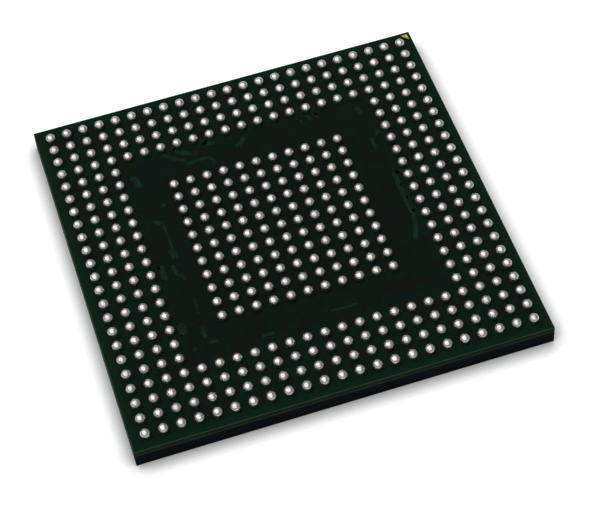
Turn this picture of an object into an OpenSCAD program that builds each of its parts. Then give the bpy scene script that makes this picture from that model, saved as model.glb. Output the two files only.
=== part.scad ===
// Overmoulded plastic ball grid array package, standing on its mould face with the balls up.
// +Z points away from the mould face, X and Y run along the sides, and the origin is the middle
// of the mould face. The A1 corner is at +X +Y: rows A, B, C... run from +Y to -Y, and columns
// are counted from +X to -X. Every size is in millimetres.

/* [Package body] */
// Length of the body along X
body_l = 19; // [18.6:0.1:21]
// Width of the body along Y
body_w = 19; // [18.6:0.1:21]
// Height of the mould cap
mold_t = 0.70; // [0.60:0.01:1.20]
// Thickness of the laminate core between its two copper layers
core_t = 0.24; // [0.15:0.01:0.60]
// Thickness of each solder mask layer
mask_t = 0.030; // [0.025:0.001:0.045]
// Thickness of each copper layer
cu_t = 0.018; // [0.012:0.001:0.022]
// Diameter of the pin 1 dimple in the mould face
dimple_d = 1.0; // [0.5:0.1:1.5]
// Depth of the pin 1 dimple
dimple_depth = 0.05; // [0.02:0.01:0.10]

/* [Ball grid] */
// Distance between neighbouring balls
pitch = 0.80; // [0.75:0.01:0.80]
// Balls along each side of the grid
grid_n = 23; // [21:2:23]
// Rows of balls in the outer ring
ring_rows = 4; // [4:1:4]
// Empty rows between the ring and the middle field
gap_rows = 2; // [2:1:3]
// Diameter of a solder ball
ball_d = 0.48; // [0.44:0.01:0.50]
// Height of a ball above the solder mask
ball_h = 0.35; // [0.33:0.01:0.38]
// Diameter of the copper pad under a ball
ball_pad_d = 0.50; // [0.48:0.01:0.52]

/* [Vias and traces] */
// Drilled diameter of a via
via_drill_d = 0.15; // [0.12:0.01:0.16]
// Thickness of the copper plating in a via
plating_t = 0.02; // [0.015:0.005:0.03]
// Diameter of the copper land round a via
land_d = 0.26; // [0.24:0.01:0.28]
// Width of the short traces between ball pads and vias
dogbone_w = 0.12; // [0.08:0.01:0.16]
// Width of the traces on the die side
trace_w = 0.06; // [0.04:0.01:0.08]
// Columns of ring balls on each side whose traces run in to the die
routed_cols = 12; // [8:1:12]
// Inner rows of the ring whose traces run in to the die
routed_rows = 2; // [1:1:2]
// How far the ground plane reaches past the middle balls
plane_margin = 0.50; // [0.40:0.05:0.60]

/* [A1 corner mark] */
// Length of the two short sides of the triangular mark
mark_leg = 0.36; // [0.25:0.01:0.40]
// Distance from the mark to the edges of the body
mark_margin = 0.12; // [0.08:0.01:0.16]

/* [Die] */
// Length of the die along X
die_l = 7.0; // [6.8:0.1:7.4]
// Width of the die along Y
die_w = 7.0; // [6.8:0.1:7.4]
// Thickness of the die
die_t = 0.25; // [0.15:0.01:0.28]
// Thickness of the die attach film
attach_t = 0.025; // [0.015:0.005:0.05]
// Edge length of a bond pad on the die
die_pad_w = 0.08; // [0.07:0.005:0.10]
// Thickness of a bond pad on the die
die_pad_t = 0.005; // [0.003:0.001:0.008]
// Distance between neighbouring bond pads
die_pad_pitch = 0.26; // [0.20:0.01:0.27]
// Distance from the edge of the die to the middle of its bond pads
die_pad_inset = 0.12; // [0.08:0.01:0.20]

/* [Bond fingers and wires] */
// Distance from the middle of the package to the inner end of the bond fingers
finger_in = 4.55; // [4.50:0.01:4.60]
// Length of a bond finger
finger_l = 0.30; // [0.25:0.01:0.35]
// Width of a bond finger
finger_w = 0.12; // [0.10:0.01:0.14]
// Distance between neighbouring bond fingers
finger_pitch = 0.30; // [0.26:0.01:0.32]
// Diameter of the gold wire
wire_d = 0.025; // [0.020:0.001:0.030]
// Height of the wire loop over the die
loop_h = 0.15; // [0.13:0.01:0.20]
// Diameter of the ball bond and the stitch bond
bond_d = 0.055; // [0.045:0.005:0.065]
// Height of the ball bond on the die
bond_h = 0.012; // [0.010:0.001:0.015]
// Height of the wire's upright neck over the die, and of the stitch bond over its finger
neck_h = 0.032; // [0.030:0.001:0.036]

/* [Hidden] */
// Rows are lettered without I, O, Q, S, X and Z, as on every grid array
ROW_NAMES = ["a", "b", "c", "d", "e", "f", "g", "h", "j", "k", "l", "m", "n", "p", "r", "t",
    "u", "v", "w", "y", "aa", "ab", "ac"];
BALL_ROWS = [for (j = [0:grid_n - 1]) str("ball_row_", ROW_NAMES[j])];

$fn = 48;
EPS = 0.01;                                     // how far a cutter runs past the face it cuts

// Heights of the layers, from the mould face up
z_mask_lo = mold_t;
z_core_lo = z_mask_lo + mask_t;
z_core_hi = z_core_lo + core_t;
z_top = z_core_hi + mask_t;
z_pad = z_core_hi + cu_t;                       // face of the ball pads
z_finger = z_core_lo - cu_t;                    // face of the bond fingers
z_die_hi = z_mask_lo - attach_t;
z_die_lo = z_die_hi - die_t;                    // active face of the die, looking down
z_bond = z_die_lo - die_pad_t;                  // face of the bond pads on the die
z_ball = z_top + ball_h - ball_d / 2;           // centre of a ball

// Ball grid: the ring is shared out like a pinwheel, one block of columns and rows a side
grid_half = (grid_n - 1) / 2 * pitch;
side_cols = grid_n - ring_rows;
field_n = grid_n - 2 * (ring_rows + gap_rows);  // balls along the middle field
field_half = (field_n - 1) / 2 * pitch;
plane_half = field_half + plane_margin;
SIDES = [0, 1, 2, 3];                           // A side, column 1 side, AC side, column 23 side

// Die-side routing: the traces of a column run down the gap to the next column, a lane each
lane = pitch / routed_rows;
routed_from = ceil((grid_n - routed_cols) / 2);
wires_a_side = routed_cols * routed_rows;
finger_out = finger_in + finger_l;
lead_l = 0.05;                                  // straight end of a trace, under the mask
exit_gap = 0.14;                                // from the last via's land to the fan of traces
window_gap = 0.05;                              // from the mask's window to the fingers
finger_y = finger_in + finger_l / 2;
paddle_gap = 0.25;                              // from the paddle to the mask's window
paddle_half = finger_in - window_gap - paddle_gap;
neck_d = wire_d + 0.011;                        // wide enough to take the slanting wire's end

// Depth of a grid place from the edge of the grid, in rows
function depth(i, j) = min(i, j, grid_n - 1 - i, grid_n - 1 - j);

// Is there a ball at this place?
function has_ball(i, j) = depth(i, j) < ring_rows || depth(i, j) >= ring_rows + gap_rows;

// Place of ball i in row j, with i from -X to +X
function ball_xy(i, j) = [i * pitch - grid_half, grid_half - j * pitch];

// Place of the via that belongs to column c and row r of the A side's block
function via_xy(c, r) = ball_xy(c, r) - [pitch / 2, pitch / 2];

// Does this place of the A side's block have a trace in to the die?
function is_routed(c, r) =
    c >= routed_from && c < routed_from + routed_cols && r >= ring_rows - routed_rows;

// Middle of the nth of count places at an even pitch
function spread(n, count, step) = (n - (count - 1) / 2) * step;

// Route of the trace from a via to its finger: aside into its lane, down, and in to the finger
function route(c, r) =
    let (
        v = via_xy(c, r),
        lane_n = ring_rows - 1 - r,
        aside = lane_n * lane,
        y_exit = via_xy(c, ring_rows - 1)[1] - land_d / 2 - exit_gap,
        n = (c - routed_from) * routed_rows + lane_n,
        x_finger = spread(n, wires_a_side, finger_pitch),
        jog = aside > 0 ? [v + [aside, -aside]] : []
    )
    concat([v], jog, [[v[0] + aside, y_exit], [x_finger, finger_out + lead_l],
        [x_finger, finger_out]]);

// Unit vector at a right angle to the way from p to q, on its left
function left_of(p, q) = [p[1] - q[1], q[0] - p[0]] / norm(q - p);

// Corner of a band's left edge at point k of its path, mitred between the two stretches
function mitre(path, k, half) =
    let (
        a = left_of(path[max(k - 1, 0)], path[max(k, 1)]),
        b = left_of(path[min(k, len(path) - 2)], path[min(k + 1, len(path) - 1)])
    )
    path[k] + half * (a + b) / (1 + a * b);

// A flat band of width w along a path
module band(path, w) {
    last = len(path) - 1;
    polygon(concat(
        [for (k = [0:last]) mitre(path, k, w / 2)],
        [for (k = [last:-1:0]) mitre(path, k, -w / 2)]
    ));
}

// A plate over the whole body, between two heights
module plate(z_lo, z_hi) {
    translate([-body_l / 2, -body_w / 2, z_lo])
        cube([body_l, body_w, z_hi - z_lo]);
}

// A square plate about the middle, given by half its edge
module square_plate(half, z_lo, z_hi) {
    translate([-half, -half, z_lo])
        cube([2 * half, 2 * half, z_hi - z_lo]);
}

// Its children at every ball of the outer ring, each turned with its side
module each_ring_place() {
    for (side = SIDES, c = [0:side_cols - 1], r = [0:ring_rows - 1])
        rotate([0, 0, -90 * side])
            translate(ball_xy(c, r))
                children();
}

// Its children at every via: one beside each ring ball, and one between each four middle balls
module each_via() {
    each_ring_place()
        translate([-pitch / 2, -pitch / 2])
            children();
    for (i = [0:field_n - 2], j = [0:field_n - 2])
        translate([spread(i, field_n - 1, pitch), spread(j, field_n - 1, pitch)])
            children();
}

// Its children at every ball
module each_ball() {
    for (j = [0:grid_n - 1], i = [0:grid_n - 1])
        if (has_ball(i, j))
            translate(ball_xy(i, j))
                children();
}

// One reflowed ball: a sphere that is flat where it wets its pad
module ball() {
    difference() {
        translate([0, 0, z_ball])
            sphere(d = ball_d);
        translate([-ball_d, -ball_d, z_pad - ball_d])
            cube([2 * ball_d, 2 * ball_d, ball_d]);
    }
}

module ball_row(j) {
    color("silver")
        for (i = [0:grid_n - 1])
            if (has_ball(i, j))
                translate(ball_xy(i, j))
                    ball();
}

// Pad, neck and via land under one ring ball
module dogbone(z_lo, z_hi) {
    translate([0, 0, z_lo])
        linear_extrude(z_hi - z_lo) {
            circle(d = ball_pad_d);
            band([[0, 0], [-pitch / 2, -pitch / 2]], dogbone_w);
            translate([-pitch / 2, -pitch / 2])
                circle(d = land_d);
        }
}

module ball_pads() {
    color("#b87333")
        each_ring_place()
            dogbone(z_core_hi, z_pad);
}

module ground_plane() {
    color("#b87333")
        square_plate(plane_half, z_core_hi, z_pad);
}

// The right-angled triangle of the corner mark, between two heights
module mark_prism(z_lo, z_hi) {
    translate([body_l / 2 - mark_margin, body_w / 2 - mark_margin, z_lo])
        linear_extrude(z_hi - z_lo)
            polygon([[0, 0], [-mark_leg, 0], [0, -mark_leg]]);
}

module a1_corner_mark() {
    color("#c9b458")
        mark_prism(z_core_hi, z_pad);
}

module ball_side_solder_mask() {
    color("#10241a")
        difference() {
            plate(z_core_hi, z_top);
            each_ring_place()
                dogbone(z_core_hi - EPS, z_pad);
            square_plate(plane_half, z_core_hi - EPS, z_pad);
            mark_prism(z_core_hi - EPS, z_top + EPS);
            each_ball()
                translate([0, 0, z_ball])
                    sphere(d = ball_d);
        }
}

module substrate_core() {
    color("#3a4a30")
        difference() {
            plate(z_core_lo, z_core_hi);
            each_via()
                translate([0, 0, z_core_lo - EPS])
                    cylinder(d = via_drill_d, h = core_t + 2 * EPS);
        }
}

module via_barrels() {
    color("#b87333")
        each_via()
            translate([0, 0, z_core_lo])
                difference() {
                    cylinder(d = via_drill_d, h = core_t);
                    translate([0, 0, -EPS])
                        cylinder(d = via_drill_d - 2 * plating_t, h = core_t + 2 * EPS);
                }
}

module via_plugs() {
    color("#2c5038")
        each_via()
            translate([0, 0, z_core_lo])
                cylinder(d = via_drill_d - 2 * plating_t, h = core_t);
}

// Every via land and trace on the die side, between two heights
module die_side_pattern(z_lo, z_hi) {
    for (side = SIDES)
        rotate([0, 0, -90 * side])
            translate([0, 0, z_lo])
                for (c = [0:side_cols - 1], r = [0:ring_rows - 1])
                    linear_extrude(z_hi - z_lo) {
                        translate(via_xy(c, r))
                            circle(d = land_d);
                        if (is_routed(c, r))
                            band(route(c, r), trace_w);
                    }
}

module die_side_traces() {
    color("#b87333")
        die_side_pattern(z_finger, z_core_lo);
}

module die_paddle() {
    color("#b87333")
        square_plate(paddle_half, z_finger, z_core_lo);
}

// The square ring in the mask that leaves the bond fingers bare
module window_ring(z_lo, z_hi) {
    difference() {
        square_plate(finger_out, z_lo, z_hi);
        square_plate(finger_in - window_gap, z_lo - EPS, z_hi + EPS);
    }
}

module bond_fingers() {
    color("#d4af37")
        for (side = SIDES)
            rotate([0, 0, -90 * side])
                for (n = [0:wires_a_side - 1])
                    translate([spread(n, wires_a_side, finger_pitch) - finger_w / 2, finger_in,
                            z_finger])
                        cube([finger_w, finger_l, cu_t]);
}

module die_side_solder_mask() {
    color("#10241a")
        difference() {
            plate(z_mask_lo, z_core_lo);
            window_ring(z_mask_lo - EPS, z_core_lo + EPS);
            square_plate(paddle_half, z_finger, z_core_lo + EPS);
            die_side_pattern(z_finger, z_core_lo + EPS);
        }
}

// A block under the laminate with the die's outline
module die_block(z_lo, z_hi) {
    translate([-die_l / 2, -die_w / 2, z_lo])
        cube([die_l, die_w, z_hi - z_lo]);
}

module die_attach() {
    color("#c8c8c0")
        die_block(z_die_hi, z_mask_lo);
}

module silicon_die() {
    color("#5a6068")
        die_block(z_die_lo, z_die_hi);
}

// How far the middle of the bond pads on a side lies from the middle of the die
function pad_reach(side) = (side % 2 == 0 ? die_w : die_l) / 2 - die_pad_inset;

// The bond pads of one side
module pad_row(side) {
    rotate([0, 0, -90 * side])
        for (n = [0:wires_a_side - 1])
            translate([spread(n, wires_a_side, die_pad_pitch) - die_pad_w / 2,
                    pad_reach(side) - die_pad_w / 2, z_bond])
                cube([die_pad_w, die_pad_w, die_pad_t]);
}

module die_bond_pads() {
    color("#b8bcc0")
        for (side = SIDES)
            pad_row(side);
}

// How far along its span an arc has its top, if it climbs by rise and then comes down by fall
function top_at(span, rise, fall) =
    let (k = fall / rise - 1)
    (sqrt(span * span + k * (span * span + fall * (fall - rise))) - span) / k;

// One wire, from a ball bond at the origin over one arc to a stitch span away and drop lower
module wire(span, drop) {
    rise = loop_h - wire_d / 2 - neck_h / 2;
    x_top = top_at(span, rise, rise + drop);
    arc_r = (x_top * x_top + rise * rise) / (2 * rise);
    before = asin(x_top / arc_r);
    after = asin((span - x_top) / arc_r);
    rotate_extrude()
        polygon([[0, 0], [bond_d / 2, 0], [bond_d / 2, bond_h], [neck_d / 2, bond_h],
            [neck_d / 2, neck_h], [0, neck_h]]);
    translate([x_top, 0, neck_h / 2 + rise - arc_r])
        rotate([90, 0, 0])
            rotate([0, 0, 90 - after])
                rotate_extrude(angle = before + after)
                    translate([arc_r, 0])
                        circle(d = wire_d);
    translate([span, 0, -drop])
        cylinder(d = bond_d, h = neck_h);
}

// The wires of one side, each from its bond pad out to its finger
module wire_row(side) {
    reach = finger_y - pad_reach(side);
    rotate([0, 0, -90 * side])
        for (n = [0:wires_a_side - 1]) {
            x_pad = spread(n, wires_a_side, die_pad_pitch);
            aside = spread(n, wires_a_side, finger_pitch) - x_pad;
            translate([x_pad, pad_reach(side), z_bond])
                rotate([0, 0, atan2(reach, aside)])
                    mirror([0, 0, 1])
                        wire(norm([aside, reach]), z_finger - z_bond);
        }
}

module bond_wires(side) {
    color("gold")
        wire_row(side);
}

module mold_cap() {
    color("#16181c")
        difference() {
            union() {
                plate(0, z_mask_lo);
                window_ring(z_mask_lo, z_core_lo);
            }
            die_block(z_die_lo, z_mask_lo + EPS);
            for (side = SIDES) {
                pad_row(side);
                wire_row(side);
            }
            bond_fingers();
            dimple_r = (pow(dimple_d / 2, 2) + pow(dimple_depth, 2)) / (2 * dimple_depth);
            translate([body_l / 2 - dimple_d, body_w / 2 - dimple_d, dimple_depth - dimple_r])
                sphere(r = dimple_r);
        }
}

for (j = [0:grid_n - 1])
    ball_row(j);
ball_side_solder_mask();
ball_pads();
ground_plane();
a1_corner_mark();
substrate_core();
via_barrels();
via_plugs();
die_side_traces();
die_paddle();
bond_fingers();
die_side_solder_mask();
die_attach();
silicon_die();
die_bond_pads();
bond_wires(0);  // bond_wires_a_side
bond_wires(1);  // bond_wires_1_side
bond_wires(2);  // bond_wires_ac_side
bond_wires(3);  // bond_wires_23_side
mold_cap();
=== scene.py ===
import math

import bpy
from mathutils import Matrix, Vector


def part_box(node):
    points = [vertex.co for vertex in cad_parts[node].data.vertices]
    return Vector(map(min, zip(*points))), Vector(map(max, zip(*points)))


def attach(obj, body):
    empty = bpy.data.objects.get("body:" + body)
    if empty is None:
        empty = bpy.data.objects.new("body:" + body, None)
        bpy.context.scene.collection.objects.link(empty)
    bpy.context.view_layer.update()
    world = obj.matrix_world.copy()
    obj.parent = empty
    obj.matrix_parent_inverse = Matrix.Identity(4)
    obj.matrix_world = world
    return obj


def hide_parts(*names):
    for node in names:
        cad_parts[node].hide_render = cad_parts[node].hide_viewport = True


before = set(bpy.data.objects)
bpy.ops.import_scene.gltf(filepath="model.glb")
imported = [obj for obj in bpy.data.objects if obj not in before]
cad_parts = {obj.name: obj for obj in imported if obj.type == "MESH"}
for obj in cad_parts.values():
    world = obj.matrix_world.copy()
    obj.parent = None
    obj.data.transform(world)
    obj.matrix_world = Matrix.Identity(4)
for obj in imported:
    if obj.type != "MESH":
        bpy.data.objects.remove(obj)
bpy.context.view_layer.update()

MM = 0.001

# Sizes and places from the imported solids, and the rows of the grid as counted
MASK_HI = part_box("ball_side_solder_mask")[1]
ROW_LO, ROW_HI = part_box("ball_row_a")
BALL_ROWS = sorted(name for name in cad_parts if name.startswith("ball_row_"))
GRID = len(BALL_ROWS)
RING_ROWS = 4
GAP_ROWS = 2
BALL_D = ROW_HI.y - ROW_LO.y
PITCH = (ROW_HI.x - ROW_LO.x - BALL_D) / (GRID - 1)
BALL_Z = ROW_HI.z - BALL_D / 2
PAD_Z = ROW_LO.z
TOP_Z = MASK_HI.z
HALF = MASK_HI.x
RING_HALF = (GRID / 2 - RING_ROWS) * PITCH

# Copper under the mask, and the low step that the mask takes over it
PAD_R = 0.25 * MM
LAND_R = 0.13 * MM
NECK = 0.12 * MM
LIFT = 0.005 * MM
SINK = 0.002 * MM
FLANK = 0.02 * MM
PAD_POINTS = 12
LAND_POINTS = 8

# One ball's faces, and how much wider its foot is than the sphere where it meets the mask
BALL_SIDES = 12
BALL_BANDS = 6
FOOT_FLARE = 1.01

# The camera's place in body widths from above the middle of the ball side, and its directions
CAMERA_AT = Vector((-0.64763, -2.88126, 3.68658))
CAMERA_RISE = 0.195 * MM
CAMERA_AHEAD = Vector((0.14168, 0.59513, -0.79104))
CAMERA_ALONG = Vector((0.95143, -0.3025, -0.05718))
CAMERA_LENS = 118.15
CAMERA_SENSOR = 36.0


# ---------------------------------------------------------------- small helpers

def shade(code):
    """A colour written as an sRGB hex code, as the linear colour that the nodes take."""
    parts = [int(code[k:k + 2], 16) / 255 for k in (0, 2, 4)]
    return [c / 12.92 if c <= 0.04045 else ((c + 0.055) / 1.055) ** 2.4 for c in parts] + [1]


def per(size_mm):
    """The scale of a pattern whose features are size_mm across."""
    return 1 / (size_mm * MM)


def add(tree, kind, inputs=None, **settings):
    """A new node with its settings, each input either filled or linked."""
    node = tree.nodes.new(kind)
    for name, value in settings.items():
        setattr(node, name, value)
    for key, value in (inputs or {}).items():
        if isinstance(value, bpy.types.NodeSocket):
            tree.links.new(value, node.inputs[key])
        else:
            node.inputs[key].default_value = value
    return node


def maths(tree, operation, a, b=0.0, c=0.0):
    """The result of one sum on two or three numbers."""
    return add(tree, "ShaderNodeMath", {0: a, 1: b, 2: c}, operation=operation).outputs[0]


def step_up(tree, value, low, high, to_low=0.0, to_high=1.0):
    """The value eased from one range to another."""
    limits = {"Value": value, "From Min": low, "From Max": high, "To Min": to_low, "To Max": to_high}
    return add(tree, "ShaderNodeMapRange", limits, interpolation_type="SMOOTHSTEP").outputs[0]


def blend_of(tree, factor, first, second):
    """One colour fading into another."""
    mix = add(tree, "ShaderNodeMix", {"Factor": factor, 6: first, 7: second}, data_type="RGBA")
    return mix.outputs[2]


def noise(tree, where, size_mm, detail=3.0, rough=0.55):
    """Soft random values, with lumps about size_mm across."""
    settings = {"Vector": where, "Scale": per(size_mm), "Detail": detail, "Roughness": rough}
    return add(tree, "ShaderNodeTexNoise", settings).outputs["Fac"]


def bump(tree, height, depth_mm, strength=1.0):
    """A surface normal raised by a height pattern."""
    settings = {"Height": height, "Distance": depth_mm * MM, "Strength": strength}
    return add(tree, "ShaderNodeBump", settings).outputs[0]


def material(name, **sockets):
    """A new material, with its tree, its shader and the place in the object's own frame."""
    made = bpy.data.materials.new(name)
    made.use_nodes = True
    tree = made.node_tree
    shader = tree.nodes["Principled BSDF"]
    for key, value in sockets.items():
        shader.inputs[key.replace("_", " ")].default_value = value
    where = add(tree, "ShaderNodeTexCoord").outputs["Object"]
    return made, tree, shader, where


def join(tree, value, socket):
    tree.links.new(value, socket)


# ---------------------------------------------------------------- materials

def reflowed_solder():
    """Tin-silver-copper solder frozen from a melt: satin silver, with dendrite facets and small dark
    specks.
    """
    made, tree, shader, where = material("reflowed_solder", Metallic=1.0)
    film = noise(tree, where, 0.20, 2.0)
    tone = blend_of(tree, step_up(tree, film, 0.35, 0.68), shade("E4E2DD"), shade("CBC8C1"))
    # Small dark specks scattered at random, in the colour only; the surface has no dents there.
    speck_cells = add(tree, "ShaderNodeTexVoronoi", {"Vector": where, "Scale": per(0.17)})
    dark_specks = step_up(tree, speck_cells.outputs["Distance"], 0.06, 0.20, 1.0, 0.0)
    join(tree, blend_of(tree, maths(tree, "MULTIPLY", dark_specks, 0.6), tone, shade("6A6864")),
         shader.inputs["Base Color"])
    join(tree, step_up(tree, film, 0.3, 0.7, 0.26, 0.36), shader.inputs["Roughness"])
    facets = add(tree, "ShaderNodeTexVoronoi", {"Vector": where, "Scale": per(0.13)},
                 feature="SMOOTH_F1").outputs["Distance"]
    relief = maths(tree, "ADD", facets, maths(tree, "MULTIPLY", film, 0.8))
    join(tree, bump(tree, relief, 0.018, 0.45), shader.inputs["Normal"])
    return made


def solder_mask_over_laminate():
    """Liquid photo-imaged solder mask: deep green, cloudy, lighter over the bare margins."""
    made, tree, shader, where = material("solder_mask", IOR=1.5)
    shader.inputs["Specular IOR Level"].default_value = 0.02
    split = add(tree, "ShaderNodeSeparateXYZ", {0: where})
    x, y = (maths(tree, "ABSOLUTE", split.outputs[k]) for k in (0, 1))
    reach = maths(tree, "MAXIMUM", x, y)
    clouds = step_up(tree, noise(tree, where, 0.9, 3.0), 0.36, 0.64)
    specks = step_up(tree, noise(tree, where, 0.16, 2.0), 0.36, 0.64)
    patches = maths(tree, "ADD", maths(tree, "MULTIPLY", clouds, 0.5), maths(tree, "MULTIPLY", specks, 0.5))
    ring = step_up(tree, reach, RING_HALF - 0.4 * MM, RING_HALF + 0.5 * MM)
    cool = step_up(tree, noise(tree, where, 0.42, 2.0), 0.52, 0.70, 0.0, 0.5)
    field = blend_of(tree, patches, shade("0E100A"), shade("051A10"))
    band = blend_of(tree, patches, shade("0E120B"), shade("042012"))
    tone = blend_of(tree, cool, blend_of(tree, ring, field, band), shade("08131A"))
    margin = step_up(tree, reach, HALF - 0.60 * MM, HALF - 0.15 * MM, 0.0, 0.85)
    tone = blend_of(tree, margin, tone, shade("062214"))
    # Painted highlight: the side faces and the outermost rim of the top are painted a lighter green,
    # standing in for the bright line of light along the top edge.
    facing = add(tree, "ShaderNodeNewGeometry").outputs["Normal"]
    up = add(tree, "ShaderNodeSeparateXYZ", {0: facing}).outputs[2]
    cut = step_up(tree, maths(tree, "ABSOLUTE", up), 0.3, 0.6, 1.0, 0.0)
    painted_rim_highlight = step_up(tree, reach, HALF - 0.05 * MM, HALF - 0.01 * MM)
    tone = blend_of(tree, maths(tree, "MAXIMUM", cut, painted_rim_highlight), tone, shade("283C2B"))
    join(tree, tone, shader.inputs["Base Color"])
    gloss = step_up(tree, noise(tree, where, 0.9, 2.0), 0.3, 0.7, 0.12, 0.24)
    join(tree, gloss, shader.inputs["Roughness"])
    ripple = noise(tree, where, 0.35, 3.0)
    join(tree, bump(tree, ripple, 0.006, 0.35), shader.inputs["Normal"])
    return made


def solder_mask_over_copper():
    """The same mask where a trace lifts it: thinner there, so a brighter green."""
    made, tree, shader, where = material("solder_mask_over_copper", IOR=1.5)
    shader.inputs["Specular IOR Level"].default_value = 0.04
    patches = step_up(tree, noise(tree, where, 0.5, 3.0), 0.35, 0.65)
    join(tree, blend_of(tree, patches, shade("08190F"), shade("062B18")), shader.inputs["Base Color"])
    join(tree, step_up(tree, patches, 0.0, 1.0, 0.14, 0.22), shader.inputs["Roughness"])
    return made


def sawn_laminate():
    """Glass cloth in resin, cut with a diamond saw: dark olive, with pale fibre ends in layers."""
    made, tree, shader, where = material("sawn_glass_laminate", Roughness=0.6)
    shader.inputs["Specular IOR Level"].default_value = 0.02
    squashed = add(tree, "ShaderNodeMapping", {"Vector": where, "Scale": (1, 1, 6)}).outputs[0]
    bundles = step_up(tree, noise(tree, squashed, 0.30, 4.0), 0.42, 0.62)
    tone = blend_of(tree, bundles, shade("121E15"), shade("1A2A1F"))
    height = add(tree, "ShaderNodeSeparateXYZ", {0: where}).outputs[2]
    core_lo, core_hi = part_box("substrate_core")
    foot = step_up(tree, height, core_lo.z + 0.02 * MM, core_lo.z + 0.05 * MM, 0.7, 0.0)
    tone = blend_of(tree, foot, tone, shade("2A2A20"))
    join(tree, tone, shader.inputs["Base Color"])
    join(tree, bump(tree, noise(tree, where, 0.04, 2.0), 0.005, 0.6), shader.inputs["Normal"])
    return made


def moulding_compound():
    """Epoxy filled with silica: nearly black, with fine pale grains where the saw opened it."""
    made, tree, shader, where = material("filled_moulding_compound", Roughness=0.55)
    shader.inputs["Specular IOR Level"].default_value = 0.02
    grains = step_up(tree, noise(tree, where, 0.045, 2.0, 0.7), 0.60, 0.74, 0.0, 0.7)
    haze = step_up(tree, noise(tree, where, 1.8, 3.0), 0.3, 0.7)
    tone = blend_of(tree, haze, shade("070E14"), shade("091218"))
    join(tree, blend_of(tree, grains, tone, shade("1C2228")), shader.inputs["Base Color"])
    streaks = add(tree, "ShaderNodeMapping", {"Vector": where, "Scale": (0.15, 0.15, 1)}).outputs[0]
    join(tree, bump(tree, noise(tree, streaks, 0.06, 2.0), 0.004, 0.5), shader.inputs["Normal"])
    return made


def gold_plating():
    """Thin soft gold over nickel: pale brass yellow with a slight haze."""
    made, tree, shader, where = material("gold_plating", Metallic=1.0)
    haze = step_up(tree, noise(tree, where, 0.12, 3.0), 0.3, 0.7)
    join(tree, blend_of(tree, haze, shade("CDBB62"), shade("B7A24C")), shader.inputs["Base Color"])
    join(tree, step_up(tree, haze, 0.0, 1.0, 0.35, 0.5), shader.inputs["Roughness"])
    return made


def etched_copper():
    """Etched foil, brushed matt before the mask goes on."""
    made, tree, shader, where = material("etched_copper", Metallic=1.0)
    stain = step_up(tree, noise(tree, where, 0.4, 3.0), 0.3, 0.7)
    join(tree, blend_of(tree, stain, shade("C07A50"), shade("A8623C")), shader.inputs["Base Color"])
    join(tree, step_up(tree, stain, 0.0, 1.0, 0.35, 0.5), shader.inputs["Roughness"])
    return made


def drawn_gold_wire():
    """Bonding wire, drawn bright."""
    made, tree, shader, where = material("drawn_gold_wire", Metallic=1.0)
    drawn = noise(tree, where, 0.03, 2.0)
    join(tree, blend_of(tree, drawn, shade("E9C46A"), shade("D4AC4C")), shader.inputs["Base Color"])
    join(tree, step_up(tree, drawn, 0.3, 0.7, 0.2, 0.3), shader.inputs["Roughness"])
    return made


def polished_silicon():
    """Ground and polished silicon: blue-grey, with faint grinding lines."""
    made, tree, shader, where = material("polished_silicon", Metallic=0.6)
    lines = add(tree, "ShaderNodeTexWave", {"Vector": where, "Scale": per(0.4), "Distortion": 2.0})
    join(tree, blend_of(tree, lines.outputs[1], shade("565C66"), shade("666C76")),
         shader.inputs["Base Color"])
    join(tree, step_up(tree, lines.outputs[1], 0.0, 1.0, 0.12, 0.2), shader.inputs["Roughness"])
    return made


def die_attach_film():
    """Silver-filled epoxy film: pale grey and matt, with flakes."""
    made, tree, shader, where = material("die_attach_film", Roughness=0.7)
    flakes = step_up(tree, noise(tree, where, 0.03, 2.0), 0.4, 0.6)
    join(tree, blend_of(tree, flakes, shade("8E8E88"), shade("B4B4AE")), shader.inputs["Base Color"])
    return made


def bare_aluminium():
    """Sputtered aluminium of the bond pads: bright, with a fine grain."""
    made, tree, shader, where = material("sputtered_aluminium", Metallic=1.0)
    grain = noise(tree, where, 0.01, 2.0)
    join(tree, blend_of(tree, grain, shade("D2D4D6"), shade("BCC0C4")), shader.inputs["Base Color"])
    join(tree, step_up(tree, grain, 0.3, 0.7, 0.2, 0.3), shader.inputs["Roughness"])
    return made


def white_sweep():
    """Matt white board under the package. It shows as white, and carries a painted shadow: grey towards the
    front and right of the package, in its colour and its glow.
    """
    made, tree, shader, _ = material("white_sweep", Roughness=1.0)
    shader.inputs["Specular IOR Level"].default_value = 0.0
    # Painted shadow: an occlusion test turned towards the back left greys the colour and dims the glow near
    # the package's front and right edges.
    key = Vector((-0.30, 0.80, 0.50)).normalized()
    painted_shadow_occlusion = add(tree, "ShaderNodeAmbientOcclusion", {"Distance": 1.0 * MM, "Normal": key}, samples=16)
    outside_painted_shadow = maths(tree, "POWER", painted_shadow_occlusion.outputs["AO"], 1.4)
    join(tree, blend_of(tree, outside_painted_shadow, shade("303032"), shade("F4F4F4")),
         shader.inputs["Base Color"])
    path = add(tree, "ShaderNodeLightPath")
    mirrored = maths(tree, "MAXIMUM", path.outputs["Is Glossy Ray"], path.outputs["Is Transmission Ray"])
    lift = maths(tree, "MULTIPLY_ADD", path.outputs["Is Camera Ray"], 0.40,
                 maths(tree, "MULTIPLY", mirrored, 0.12))
    shader.inputs["Emission Color"].default_value = (1, 1, 1, 1)
    join(tree, maths(tree, "MULTIPLY", lift, outside_painted_shadow), shader.inputs["Emission Strength"])
    return made


# ---------------------------------------------------------------- the CAD solids' finishes

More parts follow.
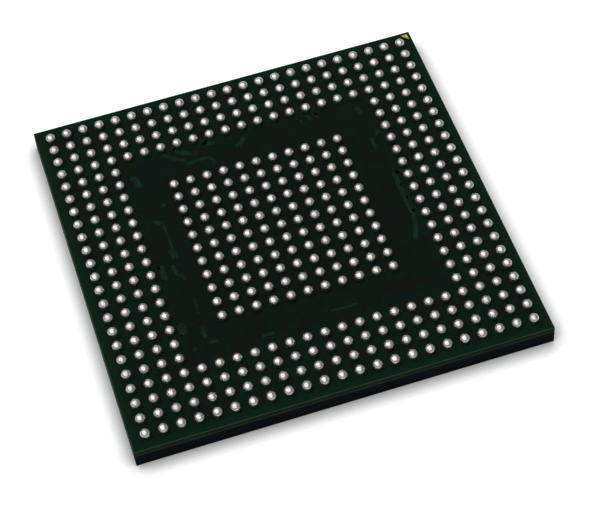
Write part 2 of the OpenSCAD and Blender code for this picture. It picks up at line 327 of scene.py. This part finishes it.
# The function that makes each solid's finish, and the solids that share another's
FINISHES = {
    "ball_side_solder_mask": solder_mask_over_laminate,
    "substrate_core": sawn_laminate,
    "mold_cap": moulding_compound,
    "a1_corner_mark": gold_plating,
    "ball_pads": etched_copper,
    "via_plugs": solder_mask_over_copper,
    "silicon_die": polished_silicon,
    "die_attach": die_attach_film,
    "die_bond_pads": bare_aluminium,
    "bond_wires_a_side": drawn_gold_wire,
}
SHARED = {
    "die_side_solder_mask": "ball_side_solder_mask", "bond_fingers": "a1_corner_mark",
    "ground_plane": "ball_pads", "via_barrels": "ball_pads", "die_side_traces": "ball_pads",
    "die_paddle": "ball_pads", "bond_wires_1_side": "bond_wires_a_side",
    "bond_wires_ac_side": "bond_wires_a_side", "bond_wires_23_side": "bond_wires_a_side",
}


def dress_solids():
    """Gives every solid that stays in view, or inside, the finish of the real piece."""
    made = {node: make() for node, make in FINISHES.items()}
    made.update({node: made[like] for node, like in SHARED.items()})
    for node, finish in made.items():
        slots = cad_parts[node].data.materials
        slots.clear()
        slots.append(finish)
    return made


# ---------------------------------------------------------------- meshes and geometry trees

def mesh_of(name, points, faces):
    """A plain mesh from its points and faces."""
    made = bpy.data.meshes.new(name)
    made.from_pydata(points, [], faces)
    made.update()
    return made


def socket_id(tree, name):
    return next(s.identifier for s in tree.interface.items_tree if s.name == name)


def node_group(name, sizes):
    """An empty geometry tree with a named input for each size."""
    tree = bpy.data.node_groups.new(name, "GeometryNodeTree")
    tree.interface.new_socket("Geometry", in_out="INPUT", socket_type="NodeSocketGeometry")
    for size, kind in sizes.items():
        tree.interface.new_socket(size, in_out="INPUT", socket_type=kind)
    tree.interface.new_socket("Geometry", in_out="OUTPUT", socket_type="NodeSocketGeometry")
    return tree, tree.nodes.new("NodeGroupInput").outputs, tree.nodes.new("NodeGroupOutput")


def plain_mesh(name, tree, values):
    """Runs a geometry tree once and keeps what it makes as a plain mesh at the origin."""
    holder = bpy.data.objects.new(name, bpy.data.meshes.new(name))
    bpy.context.scene.collection.objects.link(holder)
    modifier = holder.modifiers.new("make", "NODES")
    modifier.node_group = tree
    for size, value in values.items():
        modifier[socket_id(tree, size)] = value
    ready = holder.evaluated_get(bpy.context.evaluated_depsgraph_get())
    made = bpy.data.meshes.new_from_object(ready)
    holder.modifiers.clear()
    holder.data = made
    return holder


# ---------------------------------------------------------------- solder balls

def ball_mesh():
    """One reflowed ball, centred over its place: a sphere down to the mask, and a wetted foot."""
    radius = BALL_D / 2
    # The polygon's corners stand out a little, so that it covers about as much as the circle
    swell = 1 / math.cos(math.pi / BALL_SIDES) ** 0.5
    foot_turn = math.acos((TOP_Z - BALL_Z) / radius)
    turns = [foot_turn * k / BALL_BANDS for k in range(1, BALL_BANDS + 1)]
    rings = [(radius * math.sin(t) * swell, BALL_Z + radius * math.cos(t)) for t in turns]
    rings[-1] = (rings[-1][0] * FOOT_FLARE, TOP_Z)
    rings.append((rings[-1][0], PAD_Z))
    points, faces = [(0, 0, BALL_Z + radius)], []
    for reach, height in rings:
        for k in range(BALL_SIDES):
            turn = math.tau * k / BALL_SIDES
            points.append((reach * math.cos(turn), reach * math.sin(turn), height))
    around = [(k, (k + 1) % BALL_SIDES) for k in range(BALL_SIDES)]
    faces += [(0, 1 + k, 1 + m) for k, m in around]
    for band in range(len(rings) - 1):
        up, down = 1 + band * BALL_SIDES, 1 + (band + 1) * BALL_SIDES
        faces += [(up + k, down + k, down + m, up + m) for k, m in around]
    faces.append(tuple(1 + len(rings) * BALL_SIDES - 1 - k for k in range(BALL_SIDES)))
    return mesh_of("ball", points, faces)


def ball_tree(ball, finish):
    """Balls on a grid, with an outer ring of rows and a middle field, each turned at random."""
    tree, given, out = node_group("ball_grid", {
        "Pitch": "NodeSocketFloat", "Places": "NodeSocketInt", "Ring rows": "NodeSocketInt",
        "Gap rows": "NodeSocketInt"})
    size = given["Pitch"]
    last = maths(tree, "SUBTRACT", given["Places"], 1)
    span = maths(tree, "MULTIPLY", last, size)
    grid = add(tree, "GeometryNodeMeshGrid", {"Size X": span, "Size Y": span,
               "Vertices X": given["Places"], "Vertices Y": given["Places"]})
    place = add(tree, "ShaderNodeSeparateXYZ", {0: add(tree, "GeometryNodeInputPosition").outputs[0]})
    x, y = (maths(tree, "ABSOLUTE", place.outputs[k]) for k in (0, 1))
    rows_in = maths(tree, "DIVIDE", maths(tree, "MAXIMUM", x, y), size)
    half = maths(tree, "MULTIPLY", last, 0.5)
    depth = maths(tree, "ROUND", maths(tree, "SUBTRACT", half, rows_in))
    past_ring = maths(tree, "GREATER_THAN", depth, maths(tree, "SUBTRACT", given["Ring rows"], 0.5))
    field = maths(tree, "ADD", given["Ring rows"], given["Gap rows"])
    before_field = maths(tree, "LESS_THAN", depth, maths(tree, "SUBTRACT", field, 0.5))
    empty = maths(tree, "MULTIPLY", past_ring, before_field)
    points = add(tree, "GeometryNodeMeshToPoints", {"Mesh": grid.outputs["Mesh"]}).outputs[0]
    points = add(tree, "GeometryNodeDeleteGeometry", {"Geometry": points, "Selection": empty},
                 domain="POINT").outputs[0]
    shape = add(tree, "GeometryNodeObjectInfo", {"Object": ball}).outputs["Geometry"]
    turn = add(tree, "FunctionNodeRandomValue", {"Min": (0, 0, 0), "Max": (0, 0, math.tau),
               "Seed": 7}, data_type="FLOAT_VECTOR").outputs["Value"]
    spread = add(tree, "GeometryNodeInstanceOnPoints", {"Points": points, "Instance": shape,
                 "Rotation": turn}).outputs[0]
    real = add(tree, "GeometryNodeRealizeInstances", {0: spread}).outputs[0]
    smooth = add(tree, "GeometryNodeSetShadeSmooth", {"Geometry": real}).outputs[0]
    done = add(tree, "GeometryNodeSetMaterial", {"Geometry": smooth, "Material": finish}).outputs[0]
    join(tree, done, out.inputs[0])
    return tree


def solder_balls():
    """All the balls as one piece, in place of the plain solids."""
    ball = bpy.data.objects.new("ball", ball_mesh())
    bpy.context.scene.collection.objects.link(ball)
    balls = plain_mesh("solder_balls", ball_tree(ball, reflowed_solder()), {
        "Pitch": PITCH, "Places": GRID, "Ring rows": RING_ROWS, "Gap rows": GAP_ROWS})
    bpy.data.objects.remove(ball)
    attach(balls, "root")
    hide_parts(*BALL_ROWS)
    return balls


# ---------------------------------------------------------------- mask relief over the copper

def dogbone_outline(grow):
    """The outline of pad, neck and via land, grown by an amount, in the pad's own frame."""
    pad_r, land_r, neck = PAD_R + grow, LAND_R + grow, NECK / 2 + grow
    reach = PITCH / 2 * math.sqrt(2)
    open_pad, open_land = math.asin(neck / pad_r), math.asin(neck / land_r)
    points = []
    for k in range(PAD_POINTS):
        turn = open_pad + (math.tau - 2 * open_pad) * k / (PAD_POINTS - 1)
        points.append((pad_r * math.cos(turn), pad_r * math.sin(turn)))
    for k in range(LAND_POINTS):
        turn = open_land - math.pi + (math.tau - 2 * open_land) * k / (LAND_POINTS - 1)
        points.append((reach + land_r * math.cos(turn), land_r * math.sin(turn)))
    way = math.radians(-135)
    return [(x * math.cos(way) - y * math.sin(way), x * math.sin(way) + y * math.cos(way))
            for x, y in points]


def dogbone_relief():
    """The low step that the mask takes over one dogbone."""
    foot = [(x, y, TOP_Z - SINK) for x, y in dogbone_outline(FLANK)]
    crest = [(x, y, TOP_Z + LIFT) for x, y in dogbone_outline(0)]
    n = len(foot)
    sides = [(k, (k + 1) % n, n + (k + 1) % n, n + k) for k in range(n)]
    return mesh_of("dogbone", foot + crest, sides + [tuple(range(n, 2 * n))])


def pinwheel_tree(relief, finish):
    """One relief at each ring ball: a block of columns and rows a side, turned like a pinwheel."""
    tree, given, out = node_group("pinwheel", {
        "Columns": "NodeSocketInt", "Rows": "NodeSocketInt", "Pitch": "NodeSocketFloat",
        "Block X": "NodeSocketFloat", "Block Y": "NodeSocketFloat"})
    size = given["Pitch"]
    spans = [maths(tree, "MULTIPLY", maths(tree, "SUBTRACT", given[key], 1), size)
             for key in ("Columns", "Rows")]
    grid = add(tree, "GeometryNodeMeshGrid", {"Size X": spans[0], "Size Y": spans[1],
               "Vertices X": given["Columns"], "Vertices Y": given["Rows"]}).outputs["Mesh"]
    middle = add(tree, "ShaderNodeCombineXYZ", {0: given["Block X"], 1: given["Block Y"]}).outputs[0]
    block = add(tree, "GeometryNodeSetPosition", {"Geometry": grid, "Offset": middle}).outputs[0]
    points = add(tree, "GeometryNodeMeshToPoints", {"Mesh": block}).outputs[0]
    shape = add(tree, "GeometryNodeObjectInfo", {"Object": relief}).outputs["Geometry"]
    one = add(tree, "GeometryNodeInstanceOnPoints", {"Points": points, "Instance": shape}).outputs[0]
    hub = add(tree, "GeometryNodeMeshLine", {"Count": 4, "Offset": (0, 0, 0)}).outputs[0]
    hub = add(tree, "GeometryNodeMeshToPoints", {"Mesh": hub}).outputs[0]
    side = add(tree, "GeometryNodeInputIndex").outputs[0]
    turn = add(tree, "ShaderNodeCombineXYZ", {2: maths(tree, "MULTIPLY", side, -math.pi / 2)})
    four = add(tree, "GeometryNodeInstanceOnPoints", {"Points": hub, "Instance": one,
               "Rotation": turn.outputs[0]}).outputs[0]
    real = add(tree, "GeometryNodeRealizeInstances", {0: four}).outputs[0]
    done = add(tree, "GeometryNodeSetMaterial", {"Geometry": real, "Material": finish}).outputs[0]
    join(tree, done, out.inputs[0])
    return tree


def dogbone_reliefs(finish):
    """Every dogbone's step in the mask, as one piece."""
    shape = bpy.data.objects.new("dogbone", dogbone_relief())
    bpy.context.scene.collection.objects.link(shape)
    columns = GRID - RING_ROWS
    half = (GRID - 1) / 2 * PITCH
    reliefs = plain_mesh("mask_over_dogbones", pinwheel_tree(shape, finish), {
        "Columns": columns, "Rows": RING_ROWS, "Pitch": PITCH,
        "Block X": (columns - 1) / 2 * PITCH - half, "Block Y": half - (RING_ROWS - 1) / 2 * PITCH})
    bpy.data.objects.remove(shape)
    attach(reliefs, "root")
    return reliefs


def trace_paths():
    """The traces and pours in the empty rows, each a path in millimetres and a width."""
    return [
        ([(-4.10, 6.08), (-3.92, 5.95), (-3.74, 5.80), (-3.56, 5.62), (-3.38, 5.48), (-3.10, 5.36)], 0.17),
        ([(-3.58, 6.36), (-3.44, 6.16), (-3.30, 6.00), (-2.98, 5.78), (-2.72, 5.66), (-2.46, 5.58)], 0.20),
        ([(-3.18, 5.24), (-3.00, 5.15), (-2.82, 5.12), (-2.38, 5.18), (-2.10, 5.17), (-1.92, 5.08),
          (-1.83, 4.90), (-1.86, 4.66)], 0.16),
        ([(-2.18, 6.24), (-1.98, 6.12), (-1.78, 6.04), (-1.50, 5.90)], 0.26),
        ([(-0.62, 5.35), (-0.30, 5.50), (-0.06, 5.78)], 0.20),
        ([(-5.80, 5.22), (-5.64, 5.05), (-5.55, 4.88), (-5.55, 4.70), (-5.60, 4.50)], 0.26),
        ([(-4.86, 3.08), (-4.68, 3.02)], 0.18),
        ([(-5.42, 2.30), (-5.30, 2.16), (-5.00, 2.08)], 0.20),
        ([(-5.10, 1.95), (-5.05, 1.20), (-5.06, 0.50)], 0.08),
        ([(-5.16, 0.45), (-5.06, 0.20), (-5.05, -0.10)], 0.30),
        ([(-5.86, -0.30), (-5.82, -0.70), (-5.84, -1.15)], 0.26),
        ([(-5.30, -0.45), (-5.28, -0.98), (-5.14, -1.10), (-5.00, -1.25), (-4.98, -1.45)], 0.14),
        ([(-4.90, -2.55), (-4.88, -3.00), (-4.94, -3.45)], 0.09),
        ([(-5.88, -3.65), (-5.84, -4.00), (-5.86, -4.35)], 0.34),
        ([(-4.98, -4.20), (-5.00, -4.50), (-4.98, -4.80)], 0.15),
        ([(-4.95, -5.10), (-4.75, -5.12), (-4.52, -5.10)], 0.14),
        ([(-5.62, -5.20), (-5.54, -5.32)], 0.18),
        ([(6.28, 1.22), (6.00, 1.22), (5.86, 1.18), (5.84, 0.90), (5.84, -0.40), (5.88, -1.30),
          (5.80, -1.90), (5.64, -2.35), (5.48, -2.85)], 0.22),
        ([(6.02, 3.98), (5.94, 3.82), (5.86, 3.62)], 0.14),
        ([(5.57, 3.62), (5.55, 3.25), (5.56, 2.90)], 0.12),
        ([(5.46, 5.65), (5.56, 5.45), (5.66, 5.20)], 0.22),
        ([(3.10, 6.05), (3.22, 5.86), (3.28, 5.62)], 0.12),
        ([(3.46, 6.05), (3.56, 5.88), (3.60, 5.66)], 0.12),
        ([(2.66, 6.02), (2.76, 5.86), (2.80, 5.66)], 0.10),
        ([(0.60, -5.30), (1.30, -5.34), (1.90, -5.30)], 0.12),
        ([(-2.60, -5.60), (-2.10, -5.56)], 0.14),
    ]


def band_rings(path, half, z):
    """The two edges of a flat band along a path, as left and right points."""
    rings = []
    for k, here in enumerate(path):
        back, ahead = path[max(k - 1, 0)], path[min(k + 1, len(path) - 1)]
        way = (Vector(ahead) - Vector(back)).normalized()
        side = Vector((-way.y, way.x)) * half
        rings.append(((here[0] + side.x, here[1] + side.y, z), (here[0] - side.x, here[1] - side.y, z)))
    return rings


def trace_reliefs(finish):
    """Traces and copper pours that show through the mask in the empty rows."""
    points, faces = [], []
    for path, width in trace_paths():
        path = [Vector(p) * MM for p in path]
        low = band_rings(path, width * MM / 2 + FLANK, TOP_Z - SINK)
        high = band_rings(path, width * MM / 2, TOP_Z + LIFT)
        start = len(points)
        for (foot_left, foot_right), (top_left, top_right) in zip(low, high):
            points += [foot_left, top_left, top_right, foot_right]
        last = len(points) - 4
        for ring in range(start, last, 4):
            faces += [(q, q + 1, q + 5, q + 4) for q in range(ring, ring + 3)]
        faces += [(start, start + 3, start + 2, start + 1), (last, last + 1, last + 2, last + 3)]
    traces = bpy.data.objects.new("mask_over_traces", mesh_of("mask_over_traces", points, faces))
    bpy.context.scene.collection.objects.link(traces)
    traces.data.materials.append(finish)
    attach(traces, "root")
    return traces


# ---------------------------------------------------------------- light, floor and camera

def aim(thing, place, target, along):
    """Puts a thing at a place, looking at the target, with its own X along a direction."""
    back = (place - target).normalized()
    side = (along - along.dot(back) * back).normalized()
    up = back.cross(side)
    turn = Matrix((side, up, back)).transposed()
    thing.matrix_world = Matrix.Translation(place) @ turn.to_4x4()


def softbox(name, centre, target, width, depth, radiance):
    """A flat rectangular lamp of an even radiance, looking from its centre at a target."""
    lamp = bpy.data.lights.new(name, "AREA")
    lamp.shape = "RECTANGLE"
    lamp.size = width
    lamp.size_y = depth
    lamp.energy = radiance * math.pi * width * depth
    thing = bpy.data.objects.new(name, lamp)
    bpy.context.scene.collection.objects.link(thing)
    aim(thing, Vector(centre), Vector(target), Vector((1, 0, 0)))


def studio():
    """A broad softbox overhead to the left, a brighter panel at the back left, a weak surround."""
    softbox("overhead_softbox", (-0.50, -0.19, 1.0), (-0.50, -0.19, 0.0), 1.90, 2.52, 1.15)
    softbox("back_left_panel", (-0.62, 0.35, 0.71), (0, 0, 0), 0.45, 0.40, 1.3)
    world = bpy.context.scene.world or bpy.data.worlds.new("surround")
    bpy.context.scene.world = world
    world.use_nodes = True
    tree = world.node_tree
    tree.nodes.clear()
    path = add(tree, "ShaderNodeLightPath")
    weak = add(tree, "ShaderNodeBackground", {"Color": shade("F2F4F6"), "Strength": 0.28}).outputs[0]
    white = add(tree, "ShaderNodeBackground", {"Color": (1, 1, 1, 1), "Strength": 1.0}).outputs[0]
    mix = add(tree, "ShaderNodeMixShader", {0: path.outputs["Is Camera Ray"], 1: weak, 2: white})
    add(tree, "ShaderNodeOutputWorld", {0: mix.outputs[0]})
    bpy.ops.mesh.primitive_plane_add(size=3.0)
    floor = bpy.context.active_object
    floor.name = "white_floor"
    floor.data.materials.append(white_sweep())


def camera():
    """A long lens, looking down at the ball side from in front and a little to the left."""
    lens = bpy.data.cameras.new("camera")
    lens.sensor_width = CAMERA_SENSOR
    lens.lens = CAMERA_LENS
    lens.clip_start = 0.001
    lens.clip_end = 10.0
    thing = bpy.data.objects.new("camera", lens)
    bpy.context.scene.collection.objects.link(thing)
    bpy.context.scene.camera = thing
    place = CAMERA_AT * 2 * HALF + Vector((0, 0, TOP_Z + CAMERA_RISE))
    aim(thing, place, place + CAMERA_AHEAD, CAMERA_ALONG)


bpy.context.scene.view_settings.view_transform = "Standard"
camera()
finishes = dress_solids()
solder_balls()
over_copper = solder_mask_over_copper()
dogbone_reliefs(finishes["ball_side_solder_mask"])
trace_reliefs(over_copper)
studio()
